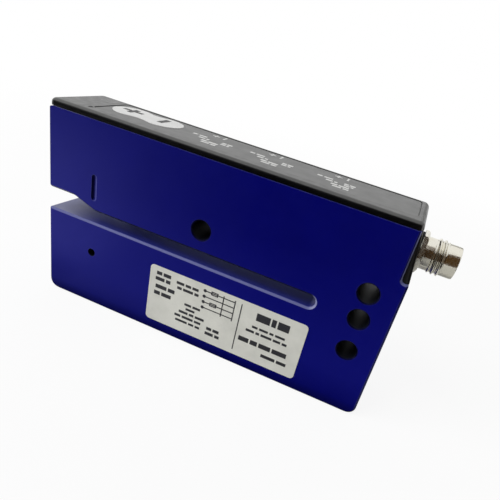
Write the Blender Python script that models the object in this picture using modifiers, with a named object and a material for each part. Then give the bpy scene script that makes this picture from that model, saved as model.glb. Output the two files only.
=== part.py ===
"""Fork-shaped label sensor: a milled metal U with a narrow slot, a moulded cover with a key panel,
an ultrasonic transducer in each jaw, a circuit board and a round plug connector.

The fork frame has X from the open end towards the connector, Y from the label side to the far side,
and Z from the resting edge up to the key panel. An empty moves that frame so that the world origin
is at the bottom centre of the whole sensor.
"""

import math

import bmesh
import bpy
from mathutils import Matrix

MM = 0.001

# Fork body
body_length = 85.4 * MM
body_width = 18.0 * MM
body_height = 46.0 * MM
edge_chamfer = 0.45 * MM
heel_radius = 2.2 * MM
toe_radius = 2.5 * MM
brow_radius = 1.3 * MM
tip_radius = 0.6 * MM

# Slot between the jaws, with its wider mouth at the open end and the bridge behind its other end
upper_jaw_height = 20.6 * MM
slot_gap = 3.0 * MM
bridge_length = 16.4 * MM
mouth_rise = 2.0 * MM
mouth_length = 7.0 * MM
ramp_length = 5.9 * MM

# Through bores for fixing screws, across the width
bore_diameter = 4.5 * MM
bore_chamfer = 0.25 * MM
bore_rise = 5.1 * MM
front_bore_x = 40.4 * MM
rear_bore_inset = 6.7 * MM
middle_bore_drop = 6.3 * MM
lower_bore_drop = 14.4 * MM

# Marks and holes on the label side at the sensing axis
sensing_x = 12.6 * MM
sight_groove_width = 1.4 * MM
sight_groove_height = 6.2 * MM
sight_groove_depth = 0.9 * MM
sight_groove_gap = 2.5 * MM
vent_diameter = 2.0 * MM
vent_drop = 7.9 * MM

# Board channel milled from the top of the body
channel_wall = 2.2 * MM
channel_front_wall = 4.5 * MM
channel_end_wall = 2.35 * MM
channel_web = 1.65 * MM
channel_corner = 2.0 * MM
ledge_width = 0.8 * MM
ledge_height = 6.6 * MM

# Cover and its leg at the connector end; the crest is the leg's thickness at the deck
cover_rise = 1.6 * MM
cover_side_inset = 0.2 * MM
cover_front_inset = 0.05 * MM
cover_front_corner = 1.3 * MM
cover_rear_corner = 1.2 * MM
cover_edge_radius = 1.0 * MM
leg_step = 1.7 * MM
leg_crest = 0.2 * MM
leg_reach = 10.8 * MM
leg_corner = 0.8 * MM
leg_rounding = 0.8 * MM
leg_inset = 0.05 * MM
rib_start = 20.0 * MM
rib_length = 48.0 * MM
rib_thickness = 0.7 * MM
rib_height = 1.2 * MM

# Panel film, key field and indicator
film_front = 8.7 * MM
film_end_margin = 1.7 * MM
film_near_margin = 3.25 * MM
film_far_margin = 1.6 * MM
film_thickness = 0.2 * MM
film_corner = 1.0 * MM
film_border_gap = 0.15 * MM
panel_recess = 0.35 * MM
key_field_x = 18.05 * MM
key_far_margin = 1.0 * MM
key_lobe_radius = 4.5 * MM
key_spacing = 8.3 * MM
key_neck = 6.9 * MM
key_field_thickness = 0.3 * MM
key_opening_radius = 2.6 * MM
lamp_setback = 0.1 * MM
lamp_wall_gap = 0.8 * MM
guide_radius = 0.45 * MM

# Circuit boards and what stands on them
board_thickness = 1.0 * MM
board_front_gap = 1.5 * MM
board_join_gap = 0.5 * MM
switch_side = 4.5 * MM
switch_height = 1.6 * MM
plunger_radius = 1.1 * MM
plunger_play = 0.2 * MM
lamp_length = 1.6 * MM
lamp_width = 0.8 * MM
lamp_height = 0.8 * MM
controller_side = 7.0 * MM
driver_side = 5.0 * MM
chip_height = 1.2 * MM
capacitor_side = 2.5 * MM
capacitor_height = 1.9 * MM
coil_side = 5.0 * MM
coil_height = 2.6 * MM
upright_board_side_gap = 1.0 * MM
upright_board_height = 9.6 * MM
upright_board_thickness = 0.8 * MM
upright_board_gap = 1.6 * MM
contact_tail = 0.35 * MM

# Transducers, sleeves, leads and plugs
pocket_radius = 4.0 * MM
nose_bore_radius = 2.75 * MM
nose_radius = 2.6 * MM
jaw_skin = 2.2 * MM
transducer_radius = 3.0 * MM
transducer_height = 5.4 * MM
sleeve_height = 5.9 * MM
nose_recess = 1.3 * MM
lead_radius = 0.6 * MM
lead_bend = 2.4 * MM
duct_radius = 1.75 * MM
duct_z = 4.1 * MM
riser_inset = 3.9 * MM
plug_thickness = 2.0 * MM
duct_plug_length = 3.0 * MM

# Connector with an M8 thread; the axis rise is taken from the foot of the cover's leg
connector_axis_rise = 4.4 * MM
connector_reach = 7.5 * MM
thread_radius = 3.95 * MM
barrel_radius = 3.35 * MM
thread_pitch = 1.0 * MM
thread_turns = 3
thread_setback = 2.45 * MM
flange_width = 8.0 * MM
flange_thickness = 1.0 * MM
shank_radius = 3.1 * MM
contact_bore_radius = 2.75 * MM
carrier_bore_radius = 2.45 * MM
contact_bore_depth = 5.0 * MM
contact_radius = 0.5 * MM
contact_circle = 1.6 * MM
contact_tip_setback = 1.0 * MM
key_way_width = 1.0 * MM
nut_thickness = 1.4 * MM
shank_past_nut = 0.4 * MM
barrel_bevel = 0.3 * MM
boss_depth = 2.65 * MM
boss_half_width = 4.7 * MM
seal_thickness = 0.6 * MM
seal_width = 0.9 * MM

# Type label on the near side
label_start = 29.4 * MM
label_end_margin = 15.9 * MM
label_bottom = 3.0 * MM
label_top_margin = 4.2 * MM
label_thickness = 0.1 * MM
label_corner = 1.0 * MM

# Clearances: seat for pieces that rest on each other, fit for pieces that slide into each other
seat = 0.05 * MM
fit = 0.1 * MM
past = 1.0 * MM

# Facets
round_steps = 32
small_steps = 16
arc_step = math.radians(15.0)

# Heights and places that follow from the sizes above
mid_y = body_width / 2
slot_roof = body_height - upper_jaw_height
lower_jaw_height = slot_roof - slot_gap
slot_depth = body_length - bridge_length
mouth_roof = slot_roof + mouth_rise
vent_z = lower_jaw_height - vent_drop
upper_bore_z = slot_roof + bore_rise
rear_bore_x = body_length - rear_bore_inset
channel_floor = upper_bore_z + bore_diameter / 2 + channel_web
ledge_z = channel_floor + ledge_height
leg_face_x = body_length - leg_step
channel_end = leg_face_x - channel_end_wall
channel_half_width = mid_y - channel_wall
narrow_half_width = channel_half_width - ledge_width
upright_board_half_width = narrow_half_width - upright_board_side_gap
leg_foot_z = body_height - leg_reach
cover_top = body_height + cover_rise
leg_top_x = leg_face_x + seat + leg_crest
leg_slope = (body_length - leg_top_x) / leg_reach
cover_end_top = leg_top_x - leg_slope * cover_rise
cover_far_y = body_width - cover_side_inset
recess_floor = cover_top - panel_recess
board_bottom = ledge_z + seat
board_top = board_bottom + board_thickness
board_half_width = channel_half_width - 2 * fit
board_start = channel_front_wall + board_front_gap
film_end = cover_end_top - film_end_margin
film_near_y = cover_side_inset + film_near_margin
film_far_y = cover_far_y - film_far_margin
key_y = film_far_y - key_far_margin - key_lobe_radius
lamp_x = film_front - lamp_setback
lamp_y = mid_y - channel_half_width + lamp_wall_gap
connector_z = leg_foot_z + connector_axis_rise
flange_x = body_length - leg_slope * connector_axis_rise
flange_corner_radius = flange_width / math.sqrt(3.0)
total_length = body_length + connector_reach
boss_x = leg_face_x - boss_depth
nut_x = boss_x - seat - nut_thickness
shank_end = nut_x - shank_past_nut
upright_board_x = shank_end - upright_board_gap - upright_board_thickness
board_end = upright_board_x - board_join_gap
emitter_seat = slot_roof + jaw_skin
receiver_seat = lower_jaw_height - jaw_skin
riser_x = slot_depth + riser_inset
label_end = body_length - label_end_margin
label_top = lower_jaw_height - label_top_margin

fork_frame = None
parts_collection = None
cutter_collection = None


# Scene and materials

def clear_scene():
    for old in list(bpy.data.objects):
        bpy.data.objects.remove(old, do_unlink=True)


def new_collection(name):
    collection = bpy.data.collections.new(name)
    bpy.context.scene.collection.children.link(collection)
    return collection


def make_frame():
    frame = bpy.data.objects.new("fork_frame", None)
    frame.location = (-total_length / 2, -mid_y, 0.0)
    bpy.context.scene.collection.objects.link(frame)
    return frame


def material(name, colour, roughness, metallic=0.0):
    made = bpy.data.materials.new(name)
    made.use_nodes = True
    shader = made.node_tree.nodes["Principled BSDF"]
    shader.inputs["Base Color"].default_value = (*colour, 1.0)
    shader.inputs["Roughness"].default_value = roughness
    shader.inputs["Metallic"].default_value = metallic
    return made


def add_object(name, mesh, finish=None):
    """Puts a mesh in the fork frame, as a part when it has a finish and as a cutter otherwise."""
    made = bpy.data.objects.new(name, mesh)
    made.parent = fork_frame
    if finish is None:
        made.hide_render = True
        made.display_type = "WIRE"
        cutter_collection.objects.link(made)
    else:
        mesh.materials.append(finish)
        parts_collection.objects.link(made)
    return made


def shade_round(made, angle=35.0):
    made.data.shade_smooth()
    made.data.set_sharp_from_angle(angle=math.radians(angle))


# Shapes

def box(name, low, high, finish=None):
    shape = bmesh.new()
    size = [high[i] - low[i] for i in range(3)]
    centre = [(high[i] + low[i]) / 2 for i in range(3)]
    bmesh.ops.create_cube(shape, size=1.0, matrix=Matrix.Diagonal((*size, 1.0)))
    mesh = bpy.data.meshes.new(name)
    shape.to_mesh(mesh)
    shape.free()
    made = add_object(name, mesh, finish)
    made.location = centre
    return made


AXIS_TURN = {
    "X": (0.0, math.pi / 2, 0.0),
    "Y": (-math.pi / 2, 0.0, 0.0),
    "Z": (0.0, 0.0, 0.0),
}


def cylinder(name, radius, start, length, axis, finish=None, steps=None):
    """A cylinder from the point start along an axis; six steps give a hexagon."""
    steps = steps or round_steps
    shape = bmesh.new()
    turn = Matrix.Translation((0.0, 0.0, length / 2))
    bmesh.ops.create_cone(shape, cap_ends=True, segments=steps, radius1=radius,
                          radius2=radius, depth=length, matrix=turn)
    mesh = bpy.data.meshes.new(name)
    shape.to_mesh(mesh)
    shape.free()
    made = add_object(name, mesh, finish)
    made.location = start
    made.rotation_euler = AXIS_TURN[axis]
    if steps > 6:
        shade_round(made)
    return made


def turned(name, profile, start, axis, finish=None, steps=None, closed=False):
    """A turned piece: profile holds (radius, height) and runs down the outer side first."""
    steps = steps or round_steps
    mesh = bpy.data.meshes.new(name)
    points = [(radius, 0.0, height) for radius, height in profile]
    edges = [(i, i + 1) for i in range(len(points) - 1)]
    if closed:
        edges.append((len(points) - 1, 0))
    mesh.from_pydata(points, edges, [])
    made = add_object(name, mesh, finish)
    made.location = start
    made.rotation_euler = AXIS_TURN[axis]
    screw = made.modifiers.new("turn", "SCREW")
    screw.steps = steps
    screw.render_steps = steps
    screw.use_merge_vertices = True
    screw.merge_threshold = 0.00001
    screw.use_smooth_shade = True
    return made


def arc(centre, radius, start, end):
    """Points on an arc between two angles in radians, ends included."""
    count = max(2, math.ceil(abs(end - start) / arc_step))
    return [(centre[0] + radius * math.cos(start + (end - start) * i / count),
             centre[1] + radius * math.sin(start + (end - start) * i / count))
            for i in range(count + 1)]


def rounded(corners):
    """Rounds a closed outline: each corner is (x, y, radius)."""
    outline = []
    for i, (x, y, radius) in enumerate(corners):
        if radius <= 0.0:
            outline.append((x, y))
            continue
        before = corners[i - 1]
        after = corners[(i + 1) % len(corners)]
        a = math.atan2(before[1] - y, before[0] - x)
        b = math.atan2(after[1] - y, after[0] - x)
        half = ((b - a) % (2 * math.pi)) / 2
        inner = half if half <= math.pi / 2 else math.pi - half
        reach = radius / math.sin(inner)
        toward = a + half if half <= math.pi / 2 else a + half + math.pi
        centre = (x + reach * math.cos(toward), y + reach * math.sin(toward))
        sweep = math.pi - 2 * inner
        middle = toward + math.pi
        turn = 1.0 if half > math.pi / 2 else -1.0
        outline += arc(centre, radius, middle - turn * sweep / 2, middle + turn * sweep / 2)
    return outline


def plate_outline(x0, x1, y0, y1, radius):
    return rounded([(x0, y0, radius), (x1, y0, radius), (x1, y1, radius), (x0, y1, radius)])


def extruded(name, outline, thickness, start, axis, finish=None):
    """A flat outline filled and extruded by thickness from start along +Z, or along +Y for a side
    outline whose second coordinate is a height."""
    curve = bpy.data.curves.new(name, "CURVE")
    curve.dimensions = "2D"
    curve.fill_mode = "BOTH"
    curve.extrude = thickness / 2
    spline = curve.splines.new("POLY")
    spline.points.add(len(outline) - 1)
    for point, (x, y) in zip(spline.points, outline):
        point.co = (x, y, 0.0, 1.0)
    spline.use_cyclic_u = True
    drawn = bpy.data.objects.new(name + "_outline", curve)
    drawn.parent = fork_frame
    middle = start + thickness / 2
    if axis == "Y":
        drawn.rotation_euler = (math.pi / 2, 0.0, 0.0)
        drawn.location = (0.0, middle, 0.0)
    else:
        drawn.location = (0.0, 0.0, middle)
    bpy.context.scene.collection.objects.link(drawn)
    bpy.context.view_layer.update()
    mesh = bpy.data.meshes.new_from_object(drawn.evaluated_get(
        bpy.context.evaluated_depsgraph_get()))
    mesh.name = name
    shape = bmesh.new()
    shape.from_mesh(mesh)
    bmesh.ops.remove_doubles(shape, verts=shape.verts, dist=0.01 * MM)
    bmesh.ops.dissolve_limit(shape, angle_limit=math.radians(0.5), verts=shape.verts,
                             edges=shape.edges)
    bmesh.ops.recalc_face_normals(shape, faces=shape.faces)
    shape.to_mesh(mesh)
    shape.free()
    mesh.materials.clear()
    made = add_object(name, mesh, finish)
    made.location = drawn.location
    made.rotation_euler = drawn.rotation_euler
    bpy.data.objects.remove(drawn, do_unlink=True)
    return made


def round_edges(made, chosen, radius, segments):
    """Rounds the edges whose two local end points both pass the test."""
    shape = bmesh.new()
    shape.from_mesh(made.data)
    edges = [edge for edge in shape.edges if chosen(edge.verts[0].co, edge.verts[1].co)]
    bmesh.ops.bevel(shape, geom=edges, offset=radius, offset_type="OFFSET", segments=segments,
                    profile=0.5, affect="EDGES", clamp_overlap=True)
    bmesh.ops.remove_doubles(shape, verts=shape.verts, dist=0.01 * MM)
    shape.to_mesh(made.data)
    shape.free()


def chamfer(made, width, angle=50.0):
    bevel = made.modifiers.new("chamfer", "BEVEL")
    bevel.width = width
    bevel.segments = 1
    bevel.limit_method = "ANGLE"
    bevel.angle_limit = math.radians(angle)


def combine(made, other, operation):
    join = made.modifiers.new(operation.lower(), "BOOLEAN")
    join.operation = operation
    join.solver = "EXACT"
    join.object = other


def cut(made, *cutters):
    for cutter in cutters:
        combine(made, cutter, "DIFFERENCE")


def add(made, *others):
    for other in others:
        combine(made, other, "UNION")


def tube(name, route, radius, finish):
    """A round lead along a list of points."""
    curve = bpy.data.curves.new(name, "CURVE")
    curve.dimensions = "3D"
    curve.bevel_depth = radius
    curve.bevel_resolution = 2
    curve.use_fill_caps = True
    spline = curve.splines.new("POLY")
    spline.points.add(len(route) - 1)
    for point, place in zip(spline.points, route):
        point.co = (*place, 1.0)
    made = bpy.data.objects.new(name, curve)
    made.parent = fork_frame
    curve.materials.append(finish)
    parts_collection.objects.link(made)
    return made


# Metal body

def fork_outline():
    """Side outline of the fork, up to above the deck, which is cut flat afterwards."""
    above = body_height + past
    return rounded([
        (0.0, 0.0, toe_radius),
        (body_length, 0.0, heel_radius),
        (body_length, leg_foot_z, tip_radius),
        (leg_face_x, leg_foot_z, leg_corner),
        (leg_face_x, above, 0.0),
        (0.0, above, 0.0),
        (0.0, mouth_roof, tip_radius),
        (mouth_length, mouth_roof, 0.0),
        (mouth_length + ramp_length, slot_roof, 0.0),
        (slot_depth, slot_roof, slot_gap / 2),
        (slot_depth, lower_jaw_height, slot_gap / 2),
        (0.0, lower_jaw_height, tip_radius),
    ])


def fixing_bore(name, x, z):
    """Cutter for one through bore, flared at both faces."""
    radius = bore_diameter / 2
    wide = radius + bore_chamfer + past
    profile = [
        (0.0, body_width + past),
        (wide, body_width + past),
        (radius, body_width - bore_chamfer),
        (radius, bore_chamfer),
        (wide, -past),
        (0.0, -past),
    ]
    return turned(name, profile, (x, 0.0, z), "Y")


def channel_cutters():
    """The wide board channel, the narrow one below its ledges, and the notch for the leg boss."""
    above = body_height + 2 * past
    wide = extruded("cut_channel_wide", plate_outline(
        channel_front_wall, channel_end, mid_y - channel_half_width, mid_y + channel_half_width,
        channel_corner), above - ledge_z, ledge_z, "Z")
    narrow = extruded("cut_channel_narrow", plate_outline(
        channel_front_wall + ledge_width, channel_end, mid_y - narrow_half_width,
        mid_y + narrow_half_width, channel_corner), above - channel_floor, channel_floor, "Z")
    half = boss_half_width + fit
    notch = box("cut_boss_notch", (channel_end - past, mid_y - half, leg_foot_z),
                (body_length + past, mid_y + half, above))
    return wide, narrow, notch


def transducer_cutters():
    """A pocket and a nose bore in each jaw, on one axis."""
    upper_pocket = cylinder("cut_emitter_pocket", pocket_radius,
                            (sensing_x, mid_y, emitter_seat),
                            channel_floor + past - emitter_seat, "Z")
    nose_bore = cylinder("cut_nose_bore", nose_bore_radius,
                         (sensing_x, mid_y, receiver_seat - past),
                         emitter_seat - receiver_seat + 2 * past, "Z")
    lower_pocket = cylinder("cut_receiver_pocket", pocket_radius,
                            (sensing_x, mid_y, -past), receiver_seat + past, "Z")
    return upper_pocket, nose_bore, lower_pocket


def duct_cutters():
    """The drilled lead duct along the lower jaw, and the riser up to the channel."""
    duct = cylinder("cut_duct", duct_radius, (sensing_x, mid_y, duct_z),
                    body_length + past - sensing_x, "X", steps=24)
    riser = cylinder("cut_riser", duct_radius, (riser_x, mid_y, duct_z),
                     channel_floor + past - duct_z, "Z", steps=24)
    return duct, riser


def sight_groove():
    """An obround groove beside the sensing axis, cut into the near side of the upper jaw."""
    half = sight_groove_width / 2
    low = slot_roof + sight_groove_gap
    high = low + sight_groove_height
    outline = arc((sensing_x, high - half), half, 0.0, math.pi)
    outline += arc((sensing_x, low + half), half, math.pi, 2 * math.pi)
    return extruded("cut_sight_groove", outline, sight_groove_depth + past, -past, "Y")


def brow_cutter():
    """Takes the corner off above the open end, leaving a round brow under the cover."""
    centre = (brow_radius, body_height - brow_radius)
    outline = arc(centre, brow_radius, math.pi, math.pi / 2)
    outline += [(brow_radius, body_height + past), (-past, body_height + past),
                (-past, body_height - brow_radius)]
    return extruded("cut_brow", outline, body_width + 2 * past, -past, "Y")


def make_fork_body(finish):
    body = extruded("fork_body", fork_outline(), body_width, 0.0, "Y", finish)
    chamfer(body, edge_chamfer)
    deck = box("cut_deck", (-past, -past, body_height),
               (body_length + past, body_width + past, body_height + 3 * past))
    cut(body, deck, brow_cutter())
    cut(body, *channel_cutters())
    cut(body, *transducer_cutters())
    cut(body, *duct_cutters())
    cut(body, fixing_bore("cut_front_bore", front_bore_x, upper_bore_z))
    for index, drop in enumerate((0.0, middle_bore_drop, lower_bore_drop)):
        cut(body, fixing_bore(f"cut_rear_bore_{index + 1}", rear_bore_x, upper_bore_z - drop))
    cut(body, sight_groove())
    vent = cylinder("cut_vent", vent_diameter / 2, (sensing_x, -past, vent_z),
                    mid_y - transducer_radius + past, "Y", steps=20)
    cut(body, vent)
    shade_round(body, 30.0)
    return body


# Cover, panel film and key field

def key_outline(grow=0.0):
    """Two round lobes joined by a waist, drawn with four arcs."""
    radius = key_lobe_radius + grow
    half = key_spacing / 2
    waist = key_neck / 2 + grow
    fillet = (half ** 2 + waist ** 2 - radius ** 2) / (2 * (radius - waist))
    lean = math.atan2(waist + fillet, half)
    outline = arc((key_field_x + half, key_y), radius, lean - math.pi, math.pi - lean)
    outline += arc((key_field_x, key_y + waist + fillet), fillet, -lean, lean - math.pi)[1:-1]
    outline += arc((key_field_x - half, key_y), radius, lean, 2 * math.pi - lean)
    outline += arc((key_field_x, key_y - waist - fillet), fillet, math.pi - lean, lean)[1:-1]
    return outline


def film_outline(grow=0.0):
    return plate_outline(film_front - grow, film_end + grow, film_near_y - grow,
                         film_far_y + grow, film_corner + grow)


def plate_side_outline():
    """Side outline of the cover's plate, whose rear end leans with the leg."""
    foot = body_height + seat
    return [(cover_front_inset, foot), (leg_top_x - leg_slope * seat, foot),
            (cover_end_top, cover_top), (cover_front_inset, cover_top)]


def round_plate(plate):
    """Rounds the upright corners first and the top rim last."""
    near = 0.01 * MM

    def front_corner(a, b):
        same = abs(a.z - b.z) < near
        return same and max(a.x, b.x) < cover_front_inset + near

    def rear_corner(a, b):
        same = abs(a.z - b.z) < near
        return same and min(a.x, b.x) > cover_end_top - near

    def top_rim(a, b):
        return min(a.y, b.y) > cover_top - near

    round_edges(plate, front_corner, cover_front_corner, 5)
    round_edges(plate, rear_corner, cover_rear_corner, 5)
    round_edges(plate, top_rim, cover_edge_radius, 4)


def cover_leg():
    """The leg down the end of the body: a leaning prism with round upright edges, cut by a side
    outline that gives the pocket's face and foot."""
    foot = leg_foot_z + seat
    high = body_height + cover_rise / 3
    low = foot - past
    middle_x = body_length - leg_inset - leg_slope * ((low + high) / 2 - leg_foot_z)
    side = cover_side_inset + 2 * leg_inset
    leg = extruded("cut_leg", plate_outline(boss_x, middle_x, side, body_width - side,
                                            leg_rounding), high - low, low, "Z")
    leg.data.transform(Matrix.Shear("XY", 4, (-leg_slope, 0.0)))
    inside = leg_face_x + seat
    outside = body_length + past
    bounds = extruded("cut_leg_bounds", rounded([
        (inside, high + past, 0.0), (inside, foot, leg_corner), (outside, foot, 0.0),
        (outside, high + past, 0.0)]), body_width + 2 * past, -past, "Y")
    combine(leg, bounds, "INTERSECT")
    return leg


def connector_boss():
    """The block behind the leg that fills the notch of the body and carries the connector."""
    low = leg_foot_z + fit
    high = body_height + cover_rise / 3
    outline = [(boss_x, low), (leg_face_x + leg_corner, low),
               (leg_top_x - leg_crest / 2, body_height), (leg_face_x, high), (boss_x, high)]
    return extruded("cut_boss", outline, 2 * boss_half_width, mid_y - boss_half_width, "Y")


def cover_ribs():
    """Two ribs below the cover that locate it between the channel walls."""
    ribs = []
    for name, side in (("cut_rib_near", -1.0), ("cut_rib_far", 1.0)):
        outer = mid_y + side * (channel_half_width - fit)
        inner = outer - side * rib_thickness
        ribs.append(box(name, (rib_start, min(outer, inner), body_height - rib_height),
                        (rib_start + rib_length, max(outer, inner), body_height + cover_rise / 3)))
    return ribs


def make_cover(finish):
    width = body_width - 2 * cover_side_inset
    cover = extruded("cover", plate_side_outline(), width, cover_side_inset, "Y", finish)
    round_plate(cover)
    add(cover, cover_leg(), connector_boss(), *cover_ribs())
    cut(cover, extruded("cut_panel", film_outline(film_border_gap), panel_recess + past,
                        recess_floor, "Z"))
    for index, side in enumerate((-1.0, 1.0)):
        cut(cover, cylinder(f"cut_key_opening_{index + 1}", key_opening_radius,
                            (key_field_x + side * key_spacing / 2, key_y, body_height - past),
                            cover_rise + 2 * past, "Z", steps=24))
    cut(cover, cylinder("cut_guide_hole", guide_radius + fit, (lamp_x, lamp_y, body_height - past),
                        cover_rise + 2 * past, "Z", steps=small_steps))
    cut(cover, cylinder("cut_shank_hole", shank_radius + fit,
                        (boss_x - past, mid_y, connector_z), body_length + past - boss_x + past,
                        "X"))
    cut(cover, cylinder("cut_spot_face", flange_corner_radius + fit,
                        (flange_x, mid_y, connector_z), connector_reach, "X"))
    cut(cover, cylinder("cut_seal_groove", shank_radius + seal_width + fit,
                        (flange_x - seal_thickness - seat, mid_y, connector_z),
                        connector_reach, "X"))
    shade_round(cover, 30.0)
    return cover


def make_panel_film(finish):
    film = extruded("panel_film", film_outline(), film_thickness, recess_floor + seat, "Z", finish)
    cut(film, extruded("cut_key_window", key_outline(seat), film_thickness + 2 * past,
                       recess_floor - past, "Z"))
    return film


def make_key_field(finish):
    return extruded("key_field", key_outline(), key_field_thickness, recess_floor + seat, "Z",
                    finish)


def make_light_guide(finish):
    foot = board_top + seat + lamp_height + seat
    tip = cover_top - seat
    collar = guide_radius + 2 * fit
    collar_top = body_height - fit
    profile = [
        (0.0, tip), (guide_radius, tip), (guide_radius, collar_top), (collar, collar_top),
        (collar, foot), (0.0, foot),
    ]
    return turned("light_guide", profile, (lamp_x, lamp_y, 0.0), "Z", finish, steps=small_steps)


# Boards and electronic pieces

def make_main_board(finish):
    board = extruded("main_board", plate_outline(
        board_start, board_end, mid_y - board_half_width, mid_y + board_half_width,
        channel_corner), board_thickness, board_bottom, "Z", finish)
    return board


def make_switch(name, side, finish):
    """A push switch whose plunger reaches up through the key opening."""
    x = key_field_x + side * key_spacing / 2
    half = switch_side / 2
    foot = board_top + seat
    shoulder = foot + switch_height
    switch = box(name, (x - half, key_y - half, foot), (x + half, key_y + half, shoulder), finish)
    overlap = switch_height / 2
    plunger = cylinder("cut_plunger_" + name, plunger_radius, (x, key_y, shoulder - overlap),
                       recess_floor - plunger_play - shoulder + overlap, "Z", steps=small_steps)
    add(switch, plunger)
    return switch


def on_board(name, x, y, length, width, height, finish):
    foot = board_top + seat
    return box(name, (x - length / 2, y - width / 2, foot),
               (x + length / 2, y + width / 2, foot + height), finish)


def make_board_parts(finish):
    """Two capacitors beside the chips and a coil near the connector."""
    chip_x = (key_field_x + board_end) / 2
    side = board_half_width - capacitor_side
    for index, turn in enumerate((-1.0, 1.0)):
        on_board(f"capacitor_{index + 1}", chip_x - controller_side + turn * controller_side,
                 mid_y + side, capacitor_side, capacitor_side, capacitor_height, finish)
    on_board("coil", board_end - coil_side, mid_y, coil_side, coil_side, coil_height, finish)


def make_connector_board(finish):
    low = channel_floor + seat
    board = box("connector_board", (upright_board_x, mid_y - upright_board_half_width, low),
                (upright_board_x + upright_board_thickness, mid_y + upright_board_half_width,
                 low + upright_board_height), finish)
    for index, (y, z) in enumerate(contact_places()):
        cut(board, cylinder(f"cut_board_hole_{index + 1}", contact_radius + seat,
                            (upright_board_x - past, y, z), upright_board_thickness + 2 * past,
                            "X", steps=small_steps))
    return board


# Transducers and their leads

def make_transducer(name, seat_z, up, finish):
    """A stepped cup whose nose points into the slot; up is +1 when its back faces up."""
    nose_reach = jaw_skin - nose_recess
    back = transducer_height
    profile = [
        (0.0, -nose_reach), (nose_radius, -nose_reach), (nose_radius, seat),
        (transducer_radius, seat), (transducer_radius, back), (0.0, back),
    ]
    if up > 0:
        profile = profile[::-1]
    profile = [(radius, up * height) for radius, height in profile]
    return turned(name, profile, (sensing_x, mid_y, seat_z), "Z", finish)


def make_sleeve(name, seat_z, up, finish):
    inner = transducer_radius + seat
    outer = pocket_radius - seat
    low, high = sorted((up * seat, up * sleeve_height))
    profile = [(outer, high), (outer, low), (inner, low), (inner, high)]
    return turned(name, profile, (sensing_x, mid_y, seat_z), "Z", finish, closed=True)


def bend(centre, start, end, steps=6):
    """Points of a quarter bend in the XZ plane at mid width."""
    points = []
    for i in range(steps + 1):
        angle = start + (end - start) * i / steps
        points.append((centre[0] + lead_bend * math.cos(angle), mid_y,
                       centre[1] + lead_bend * math.sin(angle)))
    return points


def make_receiver_lead(finish):
    """Down from the receiver, along the duct, and up the riser to the board."""
    quarter = math.pi / 2
    top = receiver_seat - transducer_height - seat
    route = [(sensing_x, mid_y, top)]
    route += bend((sensing_x + lead_bend, duct_z + lead_bend), -2 * quarter, -quarter)
    route += bend((riser_x - lead_bend, duct_z + lead_bend), -quarter, 0.0)
    route.append((riser_x, mid_y, board_bottom - seat))
    return tube("receiver_lead", route, lead_radius, finish)


def make_emitter_lead(finish):
    """Up from the emitter to the board with a slight bow."""
    low = emitter_seat + transducer_height + seat
    high = board_bottom - seat
    bow = lead_radius * 2
    steps = 10
    route = []
    for i in range(steps + 1):
        share = i / steps
        side = bow * math.sin(math.pi * share) ** 2
        route.append((sensing_x + side, mid_y, low + (high - low) * share))
    return tube("emitter_lead", route, lead_radius, finish)


def make_plugs(finish):
    receiver_plug = cylinder("receiver_plug", pocket_radius - seat,
                             (sensing_x, mid_y, seat), plug_thickness, "Z", finish)
    duct_plug = cylinder("duct_plug", duct_radius - seat,
                         (body_length - seat - duct_plug_length, mid_y, duct_z),
                         duct_plug_length, "X", finish, steps=24)
    return receiver_plug, duct_plug


# Connector

def contact_places():
    """The four contacts on their circle, as (y, z)."""
    return [(mid_y + contact_circle * math.cos(math.radians(45 + 90 * i)),
             connector_z + contact_circle * math.sin(math.radians(45 + 90 * i)))
            for i in range(4)]


def thread_profile(first):
    """Ridges of the thread as (radius, x), from the connector's front backwards."""
    points = []
    for turn in reversed(range(thread_turns)):
        crest = first + thread_pitch * (turn + 0.5)
        points.append((barrel_radius, crest + thread_pitch * 0.45))
        points.append((thread_radius, crest + thread_pitch * 0.12))
        points.append((thread_radius, crest - thread_pitch * 0.12))
        points.append((barrel_radius, crest - thread_pitch * 0.45))
    return points


def make_connector_shell(finish):
    """Barrel with thread ridges, a hexagon flange, and a shank that passes through the leg."""
    mouth = total_length
    bore_floor = mouth - contact_bore_depth
    profile = [(contact_bore_radius, mouth), (barrel_radius - barrel_bevel, mouth),
               (barrel_radius, mouth - barrel_bevel)]
    profile += thread_profile(flange_x + seat + thread_setback)
    profile += [
        (barrel_radius, flange_x + seat + flange_thickness / 2),
        (shank_radius, flange_x + seat + flange_thickness / 2),
        (shank_radius, shank_end),
        (carrier_bore_radius, shank_end),
        (carrier_bore_radius, bore_floor),
        (contact_bore_radius, bore_floor),
    ]
    shell = turned("connector_shell", profile, (0.0, mid_y, connector_z), "X", finish, closed=True)
    flange = cylinder("cut_flange", flange_corner_radius,
                      (flange_x + seat, mid_y, connector_z), flange_thickness, "X", steps=6)
    flange_bore = cylinder("cut_flange_bore", (carrier_bore_radius + shank_radius) / 2,
                           (flange_x - past, mid_y, connector_z), flange_thickness + 2 * past,
                           "X")
    cut(flange, flange_bore)
    add(shell, flange)
    return shell


def make_connector_insert(finish):
    """Contact carrier with a key way at its front and four contact holes."""
    back = shank_end
    front = total_length - contact_bore_depth - seat
    radius = carrier_bore_radius - seat
    insert = cylinder("connector_insert", radius, (back, mid_y, connector_z), front - back, "X",
                      finish)
    for index, (y, z) in enumerate(contact_places()):
        cut(insert, cylinder(f"cut_contact_hole_{index + 1}", contact_radius + seat,
                             (back - past, y, z), front - back + 2 * past, "X",
                             steps=small_steps))
    half = key_way_width / 2
    key_way = box("cut_key_way", (front - key_way_width, mid_y - half, connector_z + radius - half),
                  (front + past, mid_y + half, connector_z + radius + past))
    cut(insert, key_way)
    return insert


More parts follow.
